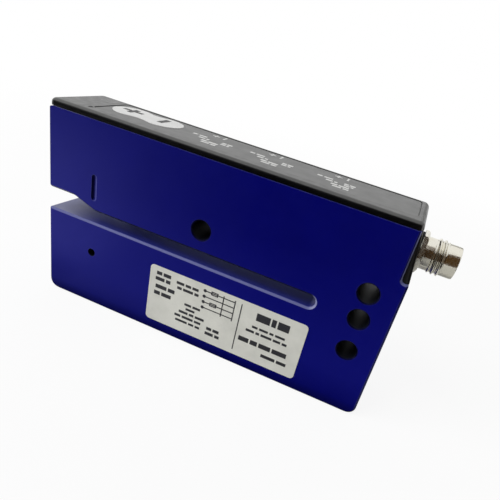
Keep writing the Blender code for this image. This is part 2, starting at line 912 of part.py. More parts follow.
def make_contacts(finish):
    """Four pins with rounded tips, from the upright board to just inside the barrel's mouth."""
    tip = total_length - contact_tip_setback
    tail = upright_board_x - contact_tail
    crown = contact_radius / 2
    profile = [(0.0, tip), (crown, tip - crown / 4), (contact_radius, tip - crown * 2),
               (contact_radius, tail), (0.0, tail)]
    for index, (y, z) in enumerate(contact_places()):
        turned(f"contact_pin_{index + 1}", profile, (0.0, y, z), "X", finish, steps=small_steps)


def make_connector_nut(finish):
    nut = cylinder("connector_nut", flange_corner_radius, (nut_x, mid_y, connector_z),
                   nut_thickness, "X", finish, steps=6)
    cut(nut, cylinder("cut_nut_bore", shank_radius + seat, (nut_x - past, mid_y, connector_z),
                      nut_thickness + 2 * past, "X"))
    return nut


def make_connector_seal(finish):
    inner = shank_radius + seat
    outer = inner + seal_width - seat
    back = flange_x - seal_thickness
    profile = [(outer, flange_x - seat / 2), (outer, back), (inner, back),
               (inner, flange_x - seat / 2)]
    return turned("connector_seal", profile, (0.0, mid_y, connector_z), "X", finish, closed=True)


def make_label(finish):
    outline = plate_outline(label_start, label_end, label_bottom, label_top, label_corner)
    return extruded("label", outline, label_thickness, -label_thickness - seat / 2, "Y", finish)


# Assembly

def build():
    anodised = material("blue_anodised", (0.01, 0.01, 0.13), 0.42, 0.6)
    black = material("black_plastic", (0.012, 0.012, 0.013), 0.5)
    film_grey = material("panel_grey", (0.05, 0.05, 0.052), 0.55)
    key_white = material("key_white", (0.78, 0.78, 0.76), 0.5)
    lamp_dark = material("lamp_dark", (0.03, 0.035, 0.03), 0.2)
    board_green = material("board_green", (0.02, 0.12, 0.05), 0.5)
    switch_black = material("switch_black", (0.02, 0.02, 0.02), 0.4)
    chip_black = material("chip_black", (0.015, 0.015, 0.016), 0.45)
    part_tan = material("part_tan", (0.35, 0.25, 0.16), 0.5)
    nickel = material("nickel", (0.62, 0.60, 0.55), 0.25, 1.0)
    gold = material("contact_gold", (0.8, 0.6, 0.25), 0.25, 1.0)
    ceramic = material("transducer_grey", (0.45, 0.45, 0.44), 0.4)
    rubber = material("soft_sleeve", (0.03, 0.03, 0.03), 0.8)
    jacket = material("lead_jacket", (0.04, 0.04, 0.045), 0.6)
    resin = material("plug_black", (0.02, 0.02, 0.022), 0.5)
    paper = material("label_film", (0.72, 0.71, 0.68), 0.45)
    make_fork_body(anodised)
    make_cover(black)
    make_panel_film(film_grey)
    make_key_field(key_white)
    make_light_guide(lamp_dark)
    make_main_board(board_green)
    on_board("status_led", lamp_x, lamp_y, lamp_length, lamp_width, lamp_height, lamp_dark)
    make_switch("plus_switch", -1.0, switch_black)
    make_switch("minus_switch", 1.0, switch_black)
    chip_x = (key_field_x + board_end) / 2
    on_board("controller_chip", chip_x - controller_side, mid_y, controller_side, controller_side,
             chip_height, chip_black)
    on_board("driver_chip", chip_x + driver_side, mid_y, driver_side, driver_side * 0.8,
             chip_height, chip_black)
    make_board_parts(part_tan)
    make_connector_board(board_green)
    make_transducer("emitter", emitter_seat, 1.0, ceramic)
    make_transducer("receiver", receiver_seat, -1.0, ceramic)
    make_sleeve("emitter_sleeve", emitter_seat, 1.0, rubber)
    make_sleeve("receiver_sleeve", receiver_seat, -1.0, rubber)
    make_emitter_lead(jacket)
    make_receiver_lead(jacket)
    make_plugs(resin)
    make_connector_shell(nickel)
    make_connector_insert(switch_black)
    make_contacts(gold)
    make_connector_nut(nickel)
    make_connector_seal(rubber)
    make_label(paper)


clear_scene()
parts_collection = new_collection("label_sensor")
cutter_collection = new_collection("label_sensor_cutters")
fork_frame = make_frame()
build()
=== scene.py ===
"""Looks of the fork-shaped label sensor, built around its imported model.

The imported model's frame is in metres: X runs from the open end to the connector, Y from the label
side to the far side and Z up from the resting edge. Fork millimetres are counted from the open
end, the label side and the resting edge, and at() turns them into that frame.
"""

import math

import bmesh
import bpy
from mathutils import Matrix, Vector


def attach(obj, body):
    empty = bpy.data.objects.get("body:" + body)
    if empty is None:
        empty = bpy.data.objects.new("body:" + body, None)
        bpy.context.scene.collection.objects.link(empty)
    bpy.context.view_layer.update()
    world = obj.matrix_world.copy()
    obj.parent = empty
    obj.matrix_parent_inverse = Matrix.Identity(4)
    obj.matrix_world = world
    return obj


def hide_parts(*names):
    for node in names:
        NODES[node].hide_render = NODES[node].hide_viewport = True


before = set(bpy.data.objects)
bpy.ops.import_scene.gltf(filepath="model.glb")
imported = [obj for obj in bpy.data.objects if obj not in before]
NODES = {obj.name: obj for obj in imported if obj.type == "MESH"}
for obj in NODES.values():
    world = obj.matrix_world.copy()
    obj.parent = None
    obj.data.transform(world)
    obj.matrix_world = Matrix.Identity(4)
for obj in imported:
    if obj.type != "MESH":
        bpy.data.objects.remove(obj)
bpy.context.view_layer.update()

MM = 0.001
FORK_ORIGIN = (-46.45 * MM, -9.0 * MM, 0.0)


def at(x, y, z):
    """A place given in millimetres from the open end, the label side and the resting edge."""
    return (FORK_ORIGIN[0] + x * MM, FORK_ORIGIN[1] + y * MM, FORK_ORIGIN[2] + z * MM)


def fork_x(x):
    """The X of a place given in millimetres from the open end."""
    return at(x, 0.0, 0.0)[0]


def fork_y(y):
    """The Y of a place given in millimetres from the label side."""
    return at(0.0, y, 0.0)[1]


# Node helpers

FULL_LEAN = 0.06


class Finish:
    """A procedural material: a Principled shader with a few texture nodes around it."""

    def __init__(self, name, colour, roughness, metallic=0.0):
        self.material = bpy.data.materials.new(name)
        self.material.use_nodes = True
        self.tree = self.material.node_tree
        self.shader = self.tree.nodes["Principled BSDF"]
        self.place = self.tree.nodes.new("ShaderNodeTexCoord").outputs["Object"]
        self.set("Base Color", (*colour, 1.0))
        self.set("Roughness", roughness)
        self.set("Metallic", metallic)

    def set(self, socket, value):
        self.shader.inputs[socket].default_value = value

    def link(self, output, target):
        self.tree.links.new(output, target)

    def noise(self, size, detail=3.0, roughness=0.55, stretch=(1.0, 1.0, 1.0)):
        """Noise whose largest features measure about size metres."""
        mapping = self.tree.nodes.new("ShaderNodeMapping")
        mapping.inputs["Scale"].default_value = [1.0 / s for s in stretch]
        self.link(self.place, mapping.inputs["Vector"])
        texture = self.tree.nodes.new("ShaderNodeTexNoise")
        texture.inputs["Scale"].default_value = 1.0 / size
        texture.inputs["Detail"].default_value = detail
        texture.inputs["Roughness"].default_value = roughness
        self.link(mapping.outputs["Vector"], texture.inputs["Vector"])
        return texture.outputs["Fac"]

    def spread(self, value, low, high, start=0.3, stop=0.7):
        """Maps a factor from start..stop to low..high."""
        node = self.tree.nodes.new("ShaderNodeMapRange")
        for socket, number in (("From Min", start), ("From Max", stop), ("To Min", low),
                               ("To Max", high)):
            node.inputs[socket].default_value = number
        self.link(value, node.inputs["Value"])
        return node.outputs["Result"]

    def blend(self, factor, first, second):
        """Mixes two colours, each a tuple or the output of another node."""
        node = self.tree.nodes.new("ShaderNodeMix")
        node.data_type = "RGBA"
        self.link(factor, node.inputs["Factor"])
        for socket, colour in zip((node.inputs[6], node.inputs[7]), (first, second)):
            if isinstance(colour, tuple):
                socket.default_value = (*colour, 1.0)
            else:
                self.link(colour, socket)
        return node.outputs[2]

    def times(self, first, second):
        node = self.tree.nodes.new("ShaderNodeMath")
        node.operation = "MULTIPLY"
        self.link(first, node.inputs[0])
        self.link(second, node.inputs[1])
        return node.outputs["Value"]

    def edges(self, radius):
        """1 on sharp edges and 0 on faces, from how far a rounded normal leans."""
        bevel = self.tree.nodes.new("ShaderNodeBevel")
        bevel.samples = 6
        bevel.inputs["Radius"].default_value = radius
        geometry = self.tree.nodes.new("ShaderNodeNewGeometry")
        lean = self.tree.nodes.new("ShaderNodeVectorMath")
        lean.operation = "DOT_PRODUCT"
        self.link(bevel.outputs["Normal"], lean.inputs[0])
        self.link(geometry.outputs["Normal"], lean.inputs[1])
        return self.spread(lean.outputs["Value"], 1.0, 0.0, 1.0 - FULL_LEAN, 1.0)

    def bumps(self, *layers):
        """Stacks bump layers, each (height, strength, distance)."""
        normal = None
        for height, strength, distance in layers:
            bump = self.tree.nodes.new("ShaderNodeBump")
            bump.inputs["Strength"].default_value = strength
            bump.inputs["Distance"].default_value = distance
            self.link(height, bump.inputs["Height"])
            if normal is not None:
                self.link(normal, bump.inputs["Normal"])
            normal = bump.outputs["Normal"]
        self.link(normal, self.shader.inputs["Normal"])

    def facing(self, axis):
        """How squarely a face looks along an axis of the model, 1 to -1."""
        lean = self.tree.nodes.new("ShaderNodeVectorMath")
        lean.operation = "DOT_PRODUCT"
        lean.inputs[1].default_value = axis
        coordinates = self.tree.nodes.new("ShaderNodeTexCoord")
        self.link(coordinates.outputs["Normal"], lean.inputs[0])
        return lean.outputs["Value"]

    def away_from_bores(self):
        """0 within reach of a bore's axis and 1 elsewhere."""
        flat = self.tree.nodes.new("ShaderNodeVectorMath")
        flat.operation = "MULTIPLY"
        flat.inputs[1].default_value = (1.0, 0.0, 1.0)
        self.link(self.place, flat.inputs[0])
        clear = None
        for x, z, reach in BORE_REACH:
            gap = self.tree.nodes.new("ShaderNodeVectorMath")
            gap.operation = "DISTANCE"
            centre = at(x, 9.0, z)
            gap.inputs[1].default_value = (centre[0], 0.0, centre[2])
            self.link(flat.outputs["Vector"], gap.inputs[0])
            free = self.spread(gap.outputs["Value"], 0.0, 1.0, reach * MM, (reach + 0.05) * MM)
            clear = free if clear is None else self.times(clear, free)
        return clear

    def colour(self, output):
        self.link(output, self.shader.inputs["Base Color"])

    def rough(self, output):
        self.link(output, self.shader.inputs["Roughness"])


# Finishes

# X, Z and radius in fork millimetres of what the painted chamfer light and slot floor sheen leave
# out;
# within them, walls and flares get painted shade
BORE_REACH = ((40.4, 30.5, 2.7), (78.7, 30.5, 2.7), (78.7, 24.2, 2.7), (78.7, 16.1, 2.7),
              (12.6, 14.5, 1.35), (12.6, 30.0, 2.4), (12.6, 32.2, 2.2))


def anodised_finish(name, fork_painted_light=True):
    """Deep blue anodised aluminium, bead blasted before dyeing, with paler edges that are partly
    wear and partly painted highlight, painted light low in the middle and towards the open end, and
    painted shade along the bottom. The fork itself also has painted highlights and shade on its
    chamfers, painted shade in its bores and a painted sheen on its slot floor, and the bed of the
    sight groove has not: it has painted shade on one wall and painted light on the other."""
    made = Finish(name, (0.002, 0.003, 0.09), 0.4, 0.25)
    made.set("Specular IOR Level", 0.12)
    made.set("Sheen Weight", 0.02)
    made.set("Sheen Roughness", 0.3)
    dye = made.noise(9.0 * MM, detail=2.0)
    grain = made.noise(0.14 * MM, detail=4.0, roughness=0.7)
    deep = made.blend(made.spread(dye, 0.0, 1.0), (0.0002, 0.0005, 0.134),
                      (0.0005, 0.0009, 0.152))
    speckled = made.blend(made.spread(grain, 0.0, 0.25), deep, (0.001, 0.002, 0.20))
    # Paler edges: partly wear, partly painted highlight.
    worn = made.times(made.edges(0.16 * MM), made.spread(made.noise(1.2 * MM), 0.15, 0.75))
    parts = made.tree.nodes.new("ShaderNodeSeparateXYZ")
    made.link(made.place, parts.inputs[0])
    along, across, height = (parts.outputs[axis] for axis in "XYZ")
    # Painted light: the blue turns paler in a band low on the sides, strongest 9 to 12 mm up.
    middle = made.times(made.spread(height, 1.0, 0.0, 12.0 * MM, 34.0 * MM),
                        made.spread(height, 0.0, 1.0, 1.5 * MM, 9.0 * MM))
    middle_lit = made.blend(middle, speckled, (0.004, 0.005, 0.205))
    # Painted sheen: a greyish paler blue towards the open end, fading out by 52 mm.
    open_end_sheen = made.blend(made.spread(along, 0.5, 0.0, fork_x(2.0), fork_x(52.0)), middle_lit,
                       (0.019, 0.021, 0.185))
    # Painted shade: darker blue along the bottom 3 mm.
    low = made.blend(made.spread(height, 0.9, 0.0, 0.2 * MM, 3.0 * MM), open_end_sheen,
                     (0.0002, 0.0004, 0.06))
    # The blue with its painted light and shade, and paler edges.
    painted_light_tone = made.blend(worn, low, (0.10, 0.105, 0.30))
    made.rough(made.spread(made.noise(2.5 * MM, detail=5.0), 0.30, 0.39))
    made.bumps((grain, 0.18, 0.02 * MM), (made.noise(0.6 * MM), 0.06, 0.03 * MM))
    left = made.facing((-1.0, 0.0, 0.0))
    if fork_painted_light:
        made.colour(fork_painted_colour(made, painted_light_tone, left, along, across, height))
    else:
        made.colour(groove_colour(made, painted_light_tone, left))
    return made.material


def groove_colour(made, painted_light_tone, left):
    """Painted shade on the trough's one wall and painted light on the other."""
    shaded = made.blend(made.spread(left, 1.0, 0.0, -0.35, -0.05), painted_light_tone,
                        (0.0004, 0.0005, 0.035))
    return made.blend(made.spread(left, 0.0, 1.0, 0.1, 0.45), shaded, (0.075, 0.080, 0.31))


def fork_painted_colour(made, painted_light_tone, left, along, across, height):
    """Adds painted highlights and shade on the chamfers, painted shade in the bores and a painted
    sheen on the slot floor to the fork's blue.
    """
    side = made.facing((0.0, -1.0, 0.0))
    up = made.facing((0.0, 0.0, 1.0))
    clear = made.away_from_bores()
    bored_off = made.spread(clear, 1.0, 0.0, 0.0, 1.0)
    chamfer = made.times(made.spread(side, 0.0, 1.0, 0.35, 0.55),
                         made.spread(side, 1.0, 0.0, 0.85, 0.95))
    flare = made.times(chamfer, bored_off)
    cut = made.times(chamfer, clear)
    chamfered = made.blend(cut, painted_light_tone, chamfer_colour(made, left, up, along, height))
    # Painted shade: dark walls inside the bores, and darker flares round them.
    across_bore = made.times(made.spread(side, 1.0, 0.0, 0.15, 0.35),
                             made.spread(side, 0.0, 1.0, -0.35, -0.15))
    bore_shade = made.blend(made.times(across_bore, bored_off), chamfered, (0.006, 0.007, 0.012))
    flare_shade = made.blend(flare, bore_shade, (0.0003, 0.0004, 0.025))
    # Painted sheen: up-facing slot floor paler, darkest on the label side and greyish near the open
    # end.
    floor_sheen_mask = made.times(made.spread(up, 0.0, 0.8, 0.85, 0.98), clear)
    depth = made.spread(across, 0.0, 1.0, fork_y(2.0), fork_y(13.0))
    floor_sheen_blue = made.blend(depth, (0.035, 0.045, 0.30), (0.38, 0.45, 0.80))
    mouth = made.spread(along, 1.0, 0.0, fork_x(5.0), fork_x(14.0))
    floor_sheen_tone = made.blend(mouth, floor_sheen_blue, (0.24, 0.25, 0.36))
    return made.blend(floor_sheen_mask, flare_shade, floor_sheen_tone)


def chamfer_colour(made, left, up, along, height):
    """Chamfers: painted highlights where they look up, at the slot's end and on the rear edge, and
    painted shade where they look down and round the open end."""
    right = made.facing((1.0, 0.0, 0.0))
    # Painted highlight: a pale line on the rear edge's chamfer, above 35 mm.
    rear_highlight = made.times(made.spread(right, 0.0, 1.0, 0.45, 0.6),
                           made.spread(along, 0.0, 1.0, fork_x(83.48), fork_x(83.54)))
    rear_highlight = made.times(rear_highlight, made.spread(height, 0.0, 1.0, 34.8 * MM, 35.3 * MM))
    upright_highlit = made.blend(rear_highlight, (0.002, 0.003, 0.10), (0.26, 0.27, 0.48))
    # Painted shade on chamfers that look down.
    down_shaded = made.blend(made.spread(up, 0.0, 1.0, -0.6, -0.2), (0.0005, 0.0005, 0.015),
                          upright_highlit)
    # Painted shade round the open end, and painted highlight at the slot's end.
    open_end = made.times(made.spread(left, 0.0, 1.0, 0.3, 0.5),
                          made.spread(along, 1.0, 0.0, fork_x(5.0), fork_x(9.0)))
    slot_end = made.times(made.spread(left, 0.0, 1.0, 0.1, 0.5),
                          made.spread(along, 0.0, 1.0, fork_x(55.0), fork_x(58.0)))
    # Painted highlight on chamfers that look up.
    up_highlit = made.blend(made.spread(up, 0.0, 1.0, 0.2, 0.6), down_shaded, (0.13, 0.14, 0.32))
    return made.blend(slot_end, made.blend(open_end, up_highlit, (0.001, 0.001, 0.02)),
                      (0.26, 0.27, 0.46))


def moulded_finish(name, colour, roughness, grain_size=0.12 * MM, shine=0.3):
    """Moulded plastic with a fine eroded texture and slightly paler edges."""
    made = Finish(name, colour, roughness)
    made.set("Specular IOR Level", shine)
    light = tuple(min(1.0, c * 1.7 + 0.004) for c in colour)
    grain = made.noise(grain_size, detail=3.0, roughness=0.6)
    tint = made.noise(5.0 * MM, detail=3.0)
    body = made.blend(made.spread(tint, 0.0, 0.5), colour, light)
    worn = made.times(made.edges(0.12 * MM), made.spread(made.noise(0.8 * MM), 0.1, 0.6))
    made.colour(made.blend(worn, body, tuple(min(1.0, c * 2.2 + 0.02) for c in colour)))
    made.rough(made.spread(made.noise(1.6 * MM, detail=4.0), roughness - 0.05, roughness + 0.07))
    made.bumps((grain, 0.16, 0.015 * MM))
    return made.material


def cover_finish():
    """Deep black moulded plastic whose rounded crest and top are a painted grey reflection, paler
    towards the far side, with a painted highlight strip along the rear upper corner.
    """
    made = Finish("black_plastic", (0.0015, 0.0015, 0.0018), 0.34)
    made.set("Specular IOR Level", 0.35)
    tint = made.noise(5.0 * MM, detail=3.0)
    body = made.blend(made.spread(tint, 0.0, 0.5), (0.0012, 0.0012, 0.0015),
                      (0.003, 0.003, 0.0035))
    grain = made.noise(0.12 * MM, detail=3.0, roughness=0.6)
    # Painted reflection: grey for the crest and top, in a random paler and darker mottle.
    painted_light_tone = made.blend(made.spread(made.noise(2.2 * MM, detail=4.0), 0.0, 1.0),
                        (0.070, 0.070, 0.069), (0.086, 0.086, 0.084))
    # Painted reflection: paler still where the crest turns to the far side.
    far = made.spread(made.facing((0.0, 1.0, 0.0)), 0.0, 1.0, 0.08, 0.35)
    far_sheen = made.blend(far, painted_light_tone, (0.15, 0.15, 0.147))
    crest = made.spread(made.facing((0.0, 0.0, 1.0)), 0.0, 1.0, 0.50, 0.62)
    # Painted highlight: a pale strip on the rear upper corner, between 45 and 46.2 mm up.
    rear = made.facing((1.0, 0.0, 0.0))
    corner = made.times(made.spread(rear, 0.0, 1.0, 0.55, 0.68),
                        made.spread(rear, 1.0, 0.0, 0.975, 0.995))
    parts = made.tree.nodes.new("ShaderNodeSeparateXYZ")
    made.link(made.place, parts.inputs[0])
    corner = made.times(corner, made.spread(parts.outputs["Z"], 0.0, 1.0, 45.0 * MM, 46.2 * MM))
    body = made.blend(corner, body, (0.22, 0.22, 0.215))
    made.colour(made.blend(crest, body, far_sheen))
    made.rough(made.spread(made.noise(1.6 * MM, detail=4.0), 0.30, 0.41))
    made.bumps((grain, 0.16, 0.015 * MM))
    return made.material


def film_finish(name, colour, roughness):
    """Printed polyester film: very fine matt grain and faint patches of rubbing."""
    made = Finish(name, colour, roughness)
    dark = tuple(c * 0.90 for c in colour)
    light = tuple(min(1.0, c * 1.06) for c in colour)
    patches = made.noise(6.0 * MM, detail=4.0)
    grain = made.noise(0.10 * MM, detail=2.0)
    made.colour(made.blend(made.spread(patches, 0.0, 1.0), dark, light))
    made.rough(made.spread(made.noise(3.0 * MM, detail=5.0), roughness - 0.05, roughness + 0.06))
    made.bumps((grain, 0.10, 0.01 * MM), (made.noise(4.0 * MM), 0.05, 0.05 * MM))
    return made.material


def ink_finish(name, colour):
    """Screen-printed ink, with tiny pinholes in its tone."""
    made = Finish(name, colour, 0.5)
    pale = tuple(min(1.0, c * 1.15 + 0.01) for c in colour)
    made.colour(made.blend(made.spread(made.noise(0.25 * MM), 0.0, 1.0), colour, pale))
    made.rough(made.spread(made.noise(0.5 * MM), 0.45, 0.6))
    made.bumps((made.noise(0.12 * MM), 0.08, 0.008 * MM))
    return made.material


def nickel_finish(name, colour, roughness):
    """Nickel-plated brass with fine turning marks round the X axis and slight tarnish."""
    made = Finish(name, colour, roughness, 1.0)
    turning = made.noise(0.16 * MM, detail=3.0, stretch=(1.0, 60.0, 60.0))
    tarnish = made.noise(1.6 * MM, detail=4.0)
    warm = tuple(c * k for c, k in zip(colour, (0.93, 0.90, 0.84)))
    made.colour(made.blend(made.spread(tarnish, 0.0, 0.55), colour, warm))
    made.rough(made.spread(made.noise(0.7 * MM, detail=5.0), roughness - 0.04, roughness + 0.05))
    made.bumps((turning, 0.08, 0.003 * MM), (made.noise(0.5 * MM), 0.012, 0.006 * MM))
    return made.material


def board_finish():
    """Solder-masked board with faint tracks under the mask."""
    made = Finish("board_green", (0.01, 0.09, 0.035), 0.4)
    wave = made.tree.nodes.new("ShaderNodeTexWave")
    wave.inputs["Scale"].default_value = 420.0
    wave.inputs["Distortion"].default_value = 6.0
    wave.inputs["Detail Scale"].default_value = 2.0
    made.link(made.place, wave.inputs["Vector"])
    tracks = made.spread(wave.outputs["Fac"], 0.0, 0.6, 0.55, 0.75)
    made.colour(made.blend(tracks, (0.008, 0.07, 0.03), (0.03, 0.16, 0.06)))
    made.rough(made.spread(made.noise(1.0 * MM), 0.35, 0.5))
    made.bumps((tracks, 0.15, 0.02 * MM))
    return made.material


def ceramic_finish():
    """Grey transducer cup with fine machining and a dull face."""
    made = Finish("transducer_grey", (0.42, 0.42, 0.41), 0.4)
    patches = made.noise(1.4 * MM)
    made.colour(made.blend(made.spread(patches, 0.0, 1.0), (0.36, 0.36, 0.35),
                           (0.47, 0.47, 0.46)))
    made.rough(made.spread(made.noise(0.6 * MM), 0.35, 0.5))
    made.bumps((made.noise(0.15 * MM), 0.12, 0.01 * MM))
    return made.material


# Shapes

SHARP_ANGLE = math.radians(33.0)
FLAT_ANGLE = math.radians(0.4)
FACET_GAP = 0.002 * MM
SLIVER_GAP = 0.003 * MM


def smooth_group():
    """Geometry nodes that shade smooth and keep edges over a set angle sharp."""
    group = bpy.data.node_groups.new("smooth_by_angle", "GeometryNodeTree")
    group.interface.new_socket("Geometry", in_out="INPUT", socket_type="NodeSocketGeometry")
    group.interface.new_socket("Geometry", in_out="OUTPUT", socket_type="NodeSocketGeometry")
    start = group.nodes.new("NodeGroupInput")
    stop = group.nodes.new("NodeGroupOutput")
    faces = group.nodes.new("GeometryNodeSetShadeSmooth")
    edges = group.nodes.new("GeometryNodeSetShadeSmooth")
    edges.domain = "EDGE"
    edges.inputs["Shade Smooth"].default_value = False
    angle = group.nodes.new("GeometryNodeInputMeshEdgeAngle")
    compare = group.nodes.new("FunctionNodeCompare")
    compare.operation = "GREATER_THAN"
    compare.inputs[1].default_value = SHARP_ANGLE
    group.links.new(start.outputs[0], faces.inputs["Geometry"])
    group.links.new(faces.outputs["Geometry"], edges.inputs["Geometry"])
    group.links.new(angle.outputs["Unsigned Angle"], compare.inputs[0])
    group.links.new(compare.outputs["Result"], edges.inputs["Selection"])
    group.links.new(edges.outputs["Geometry"], stop.inputs[0])
    return group


def smooth_by_angle(made):
    smooth = made.modifiers.new("smooth", "NODES")
    smooth.node_group = SMOOTH


def soften(made, width):
    """Welds a node's facets, rounds its hard edges by width and shades it smooth."""
    weld = made.modifiers.new("weld", "WELD")
    weld.merge_threshold = FACET_GAP
    flat = made.modifiers.new("flat", "DECIMATE")
    flat.decimate_type = "DISSOLVE"
    flat.angle_limit = FLAT_ANGLE
    if width > 0.0:
        bevel = made.modifiers.new("bevel", "BEVEL")
        bevel.width = width
        bevel.segments = 2
        bevel.limit_method = "ANGLE"
        bevel.angle_limit = SHARP_ANGLE
        bevel.miter_outer = "MITER_ARC"
        joined = made.modifiers.new("joined", "WELD")
        joined.merge_threshold = SLIVER_GAP
    smooth_by_angle(made)
    weights = made.modifiers.new("weights", "WEIGHTED_NORMAL")
    weights.keep_sharp = True


def ring_skin(shape, rings):
    """Joins rings of points, each a list of places, into one closed skin."""
    made = [[shape.verts.new(place) for place in ring] for ring in rings]
    for first, second in zip(made, made[1:] + made[:1]):
        count = len(first)
        for i in range(count):
            j = (i + 1) % count
            shape.faces.new((first[i], first[j], second[j], second[i]))


def new_piece(name, shape, finish):
    """Turns a bmesh into a piece that rides on the body."""
    bmesh.ops.recalc_face_normals(shape, faces=shape.faces)
    mesh = bpy.data.meshes.new(name)
    shape.to_mesh(mesh)
    shape.free()
    made = bpy.data.objects.new(name, mesh)
    bpy.context.scene.collection.objects.link(made)
    mesh.materials.append(finish)
    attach(made, "root")
    return made


# Flat outlines and printed marks, in millimetres

HAIR = 0.01
PRINT_BASE = 0.01
PRINT_TOP = 0.02


def prism(shape, outline, low, high, lift):
    """Adds a closed flat outline as a thin solid; lift(u, v, w) gives the place of a point."""
    bottom = [shape.verts.new(lift(u, v, low)) for u, v in outline]
    top = [shape.verts.new(lift(u, v, high)) for u, v in outline]
    shape.faces.new(bottom[::-1])
    shape.faces.new(top)
    count = len(outline)
    for i in range(count):
        j = (i + 1) % count
        shape.faces.new((bottom[i], bottom[j], top[j], top[i]))


def bar(u0, v0, u1, v1):
    return [(u0, v0), (u1, v0), (u1, v1), (u0, v1)]


def bar_frame(u0, v0, u1, v1, line):
    """Four bars round a box, a hair apart so that their corners share no edge."""
    inner0, inner1 = v0 + line + HAIR, v1 - line - HAIR
    return [bar(u0, v0, u1, v0 + line), bar(u0, v1 - line, u1, v1),
            bar(u0, inner0, u0 + line, inner1), bar(u1 - line, inner0, u1, inner1)]


def disc(u, v, radius):
    count = 20
    return [(u + radius * math.cos(2 * math.pi * i / count),
             v + radius * math.sin(2 * math.pi * i / count)) for i in range(count)]


def printed(name, outlines, lift, finish):
    """Printed marks: thin solids that share one piece, set a little into what carries them."""
    shape = bmesh.new()
    for outline in outlines:
        prism(shape, outline, -PRINT_BASE, PRINT_TOP, lift)
    new_piece(name, shape, finish)


# Marks on the panel film, the key field and the cover, in fork millimetres

FILM_TOP = 47.5
KEY_TOP = 47.6
COVER_TOP = 47.6


def word_bars(u, v, lengths, height, gap):
    """A row of plain bars of the given lengths, from a lower left corner."""
    outlines = []
    for length in lengths:
        outlines.append(bar(u, v, u + length, v + height))
        u += length + gap
    return outlines


def on_top(height):
    return lambda u, v, w: at(u, v, height + w)


def plus_mark(u, v, length, width, weight):
    return [bar(u - length / 2, v - weight / 2, u + length / 2, v + weight / 2),
            bar(u - weight / 2, v - width / 2, u + weight / 2, v - weight / 2),
            bar(u - weight / 2, v + weight / 2, u + weight / 2, v + width / 2)]


def panel_marks(white, dark, faint):
    """Plus and minus on the keys, white symbols and plain word bars on the film."""
    on_key = on_top(KEY_TOP)
    printed("key_plus_mark", plus_mark(13.6, 11.4, 5.0, 4.0, 1.2), on_key, dark)
    printed("key_minus_mark", [bar(21.15, 9.2, 22.45, 13.5)], on_key, dark)
    line, inset = 0.28, 0.9
    u0, u1, v0, v1 = 3.9, 6.9, 12.0, 15.6
    middle = (v0 + v1) / 2
    icon = bar_frame(u0, v0, u1, v1, line)
    icon.append(bar(u0 + inset, middle - line / 2, u1 - inset, middle + line / 2))
    printed("cover_icon", icon, on_top(COVER_TOP), faint)
    outlines = []
    for sign, block in ((33.9, 3.6), (48.0, 3.9), (63.7, 2.2)):
        outlines += plus_mark(sign, 14.1, 1.7, 1.6, 0.42)
        outlines += [bar(sign + 1.95, 13.1, sign + 2.4, 15.3)]
        outlines += word_bars(sign - 3.9, 9.9, (1.1, 1.9), 0.85, 0.45)
        outlines += word_bars(sign - 1.6, 8.3, (1.5, 0.7), 0.85, 0.3)
        outlines += word_bars(sign - 0.1, 6.5, (1.4, 2.2), 0.95, 0.3)
        outlines += word_bars(sign + 0.5, 5.2, (1.9, 1.2), 0.85, 0.35)
        outlines += word_bars(sign + block, 9.3, (1.0, 1.2), 0.95, 0.25)
        outlines += word_bars(sign + block + 0.2, 8.0, (1.2, 0.6), 0.9, 0.25)
    printed("panel_marks", outlines, on_top(FILM_TOP), white)


# Marks on the label, in fork millimetres along the body and up

LABEL_FACE = 0.125


def on_label(u, v, w):
    return at(u, -LABEL_FACE - w, v)


def label_marks(dark):
    """A divider, a plain wiring sketch and rows of plain bars."""
    lines = [bar(53.3, 4.3, 53.55, 17.1)]
    line = 0.26
    rows = (12.2, 13.7, 15.2, 16.7)
    for v in rows:
        lines += [bar(44.4, v - line / 2, 51.6, v + line / 2), disc(44.0, v, 0.42)]
    for u in (48.7, 51.6):
        lines.append(bar(u, rows[0] - 0.6, u + line, rows[-1] + 0.5))
    for v in (rows[1], rows[3]):
        lines += bar_frame(45.6, v - 0.5, 47.4, v + 0.5, line)
    printed("label_lines", lines, on_label, dark)
    words = []
    for u, v, lengths, height in (
            (57.4, 14.4, (3.4, 1.1, 2.8), 2.0), (56.9, 12.2, (1.4, 2.2, 1.0, 2.4), 0.6),
            (55.6, 10.8, (2.1, 0.9, 2.7, 1.8, 1.2), 0.65),
            (54.3, 7.6, (2.6, 1.8, 3.0, 3.6), 1.25), (60.6, 5.4, (3.6, 2.4), 0.85),
            (39.4, 10.7, (1.8, 2.0), 0.6), (39.9, 9.5, (2.4,), 0.6),
            (38.2, 8.3, (2.4, 1.2, 2.4), 0.65), (37.2, 7.0, (1.6, 3.0, 1.7), 0.65),
            (37.6, 5.7, (3.2, 1.4, 1.2), 0.6), (46.0, 6.6, (1.3, 1.6), 0.8),
            (45.8, 5.2, (2.2, 1.2), 0.8), (36.6, 15.6, (2.0, 1.4, 1.6), 0.7),
            (36.9, 14.3, (1.2, 2.6, 1.1), 0.7), (31.2, 16.0, (1.4, 2.0), 0.9),
            (31.0, 14.5, (2.4, 1.2), 0.9), (31.2, 12.4, (3.0, 1.8), 1.0),
            (31.0, 10.6, (1.6, 2.6), 1.0)):
        words += word_bars(u, v, lengths, height, 0.4)
    printed("label_words", words, on_label, dark)


# Bed of the sight groove, in fork millimetres

GROOVE_X = 12.6
GROOVE_LOW = 28.6
GROOVE_HIGH = 33.4
GROOVE_RADIUS = 0.69
BED_DEPTH = 0.36
BED_BACK = 0.70


